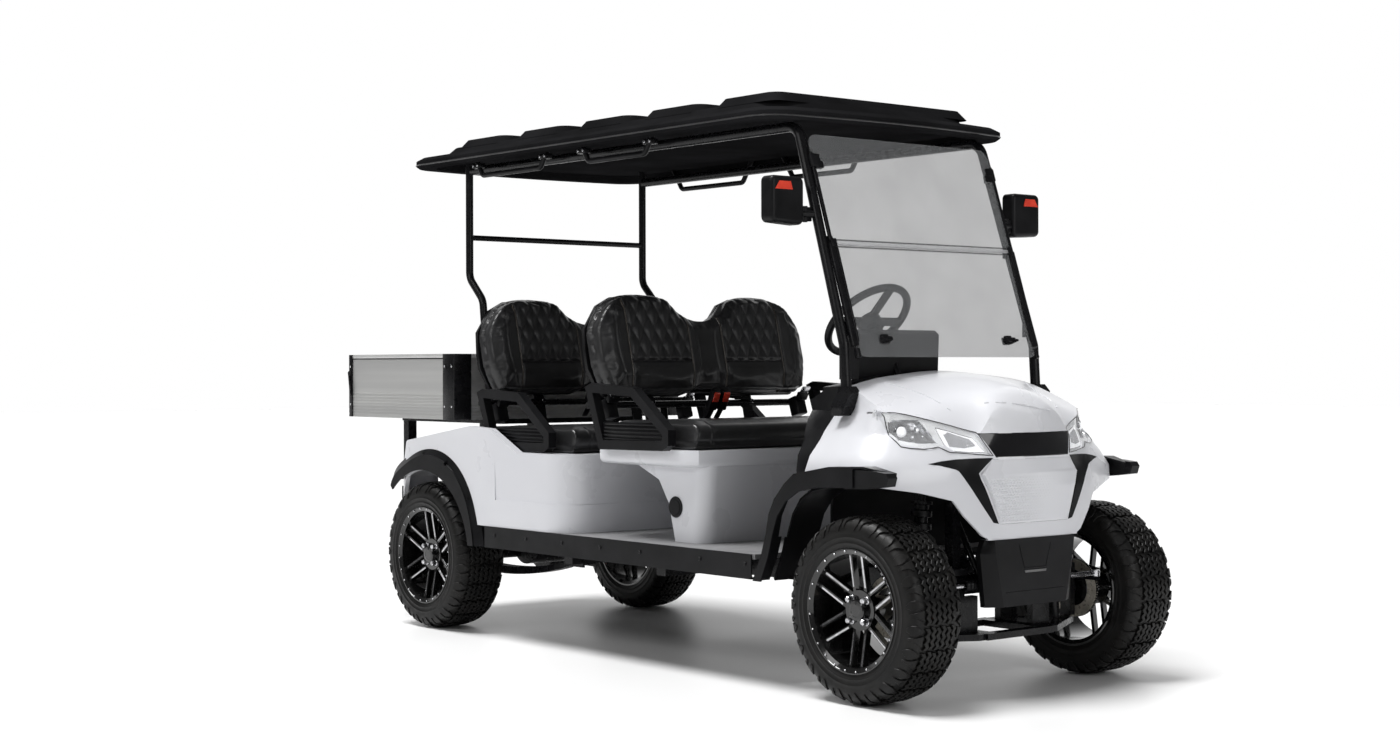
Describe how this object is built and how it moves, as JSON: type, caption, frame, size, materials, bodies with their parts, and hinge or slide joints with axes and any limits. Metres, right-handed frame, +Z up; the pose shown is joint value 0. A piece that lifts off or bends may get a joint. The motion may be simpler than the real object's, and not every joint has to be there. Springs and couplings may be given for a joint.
{
  "type": "golf cart",
  "caption": "Open golf cart with two bench seats, a ribbed roof on pillars, a windscreen, off-road wheels and a rear cargo box with a drop tailgate.",
  "frame": {"origin": "on the ground under the middle of the vehicle's box", "axes": "+Z up, the vehicle faces -Y, +X is its left side"},
  "size_m": [1.27, 3.411, 1.944],
  "materials": {
    "tyre": "matte",
    "alloy": "gloss",
    "steel": "satin",
    "bright": "brushed",
    "white": "gloss",
    "black": "satin",
    "gloss_black": "gloss",
    "seat": "satin",
    "mat": "matte",
    "glazing": "gloss",
    "lamp": "gloss",
    "red_lamp": "gloss",
    "box_metal": "satin"
  },
  "bodies": {
    "vehicle": {"control_arms": "steel", "coil_over_dampers": "steel", "steering_rack": "black", "steering_column": "steel", "chassis_frame": "steel", "frame_crossmembers": "steel", "roof_rails": "steel", "frame_brackets": "steel", "floor_deck": "mat", "rocker_skirts": "black", "front_cowl": "white", "cowl_side_trims": "black", "nose_panel": "white", "grille_band": "gloss_black", "fascia_inserts": "gloss_black", "headlamps": "lamp", "front_bumper": "black", "front_flares": "black", "dashboard": "black", "pedals": "steel", "front_pillars": "steel", "windscreen_lower": "glazing", "windscreen_upper": "glazing", "mirrors": "black", "rear_hoop": "steel", "grab_handles": "black", "roof": "black", "front_seat_cushion": "seat", "rear_seat_cushion": "seat", "front_backrest": "seat", "rear_backrest": "seat", "front_back_shell": "black", "rear_back_shell": "black", "armrest_loops": "black", "seat_frames": "steel", "front_seat_base": "white", "rear_body": "white", "rear_flares": "black", "tail_lamps": "red_lamp", "cargo_box": "box_metal", "cargo_corner_posts": "black", "cargo_support": "steel", "rear_axle": "steel", "leaf_springs": "steel"},
    "wheel_front_left": {"tyre_front_left": "tyre", "rim_front_left": "alloy"},
    "wheel_front_right": {"tyre_front_right": "tyre", "rim_front_right": "alloy"},
    "wheel_rear_left": {"tyre_rear_left": "tyre", "rim_rear_left": "alloy"},
    "wheel_rear_right": {"tyre_rear_right": "tyre", "rim_rear_right": "alloy"},
    "steer_knuckle_left": {"knuckle_left": "steel"},
    "steer_knuckle_right": {"knuckle_right": "steel"},
    "rack_bar": {"tie_rod": "bright"},
    "hand_wheel": {"steering_wheel": "black"},
    "box_gate": {"tailgate": "box_metal"}
  },
  "joints": [
    {"name": "steer_right", "type": "hinge", "parent": "vehicle", "child": "steer_knuckle_right", "pos_m": [-0.4, -1.4155, 0.29], "axis": [0, 0, 1], "range_deg": [-24, 24]},
    {"name": "steer_left", "type": "hinge", "parent": "vehicle", "child": "steer_knuckle_left", "pos_m": [0.4, -1.4155, 0.29], "axis": [0, 0, 1], "range_deg": [-24.1, 24.1]},
    {"name": "rack_slide", "type": "slide", "parent": "vehicle", "child": "rack_bar", "axis": [1, 0, 0], "range_m": [-0.056, 0.056]},
    {"name": "hand_wheel_turn", "type": "hinge", "parent": "vehicle", "child": "hand_wheel", "pos_m": [-0.16, -1.0335, 1.189], "axis": [0, 0.7071, 0.7071], "range_deg": [-289, 289]},
    {"name": "spin_front_right", "type": "hinge", "parent": "steer_knuckle_right", "child": "wheel_front_right", "pos_m": [-0.505, -1.4155, 0.29], "axis": [1, 0, 0], "continuous": true},
    {"name": "spin_front_left", "type": "hinge", "parent": "steer_knuckle_left", "child": "wheel_front_left", "pos_m": [0.505, -1.4155, 0.29], "axis": [1, 0, 0], "continuous": true},
    {"name": "spin_rear_right", "type": "hinge", "parent": "vehicle", "child": "wheel_rear_right", "pos_m": [-0.505, 1.0435, 0.29], "axis": [1, 0, 0], "continuous": true},
    {"name": "spin_rear_left", "type": "hinge", "parent": "vehicle", "child": "wheel_rear_left", "pos_m": [0.505, 1.0435, 0.29], "axis": [1, 0, 0], "continuous": true},
    {"name": "tailgate_hinge", "type": "hinge", "parent": "vehicle", "child": "box_gate", "pos_m": [0, 1.6935, 0.867], "axis": [-1, 0, 0], "range_deg": [0, 90]}
  ],
  "couplings": [
    {"joint": "steer_left", "follows": "steer_right", "ratio": 1},
    {"joint": "rack_slide", "follows": "steer_right", "m_per_rad": 0.13},
    {"joint": "hand_wheel_turn", "follows": "steer_right", "ratio": 12}
  ]
}
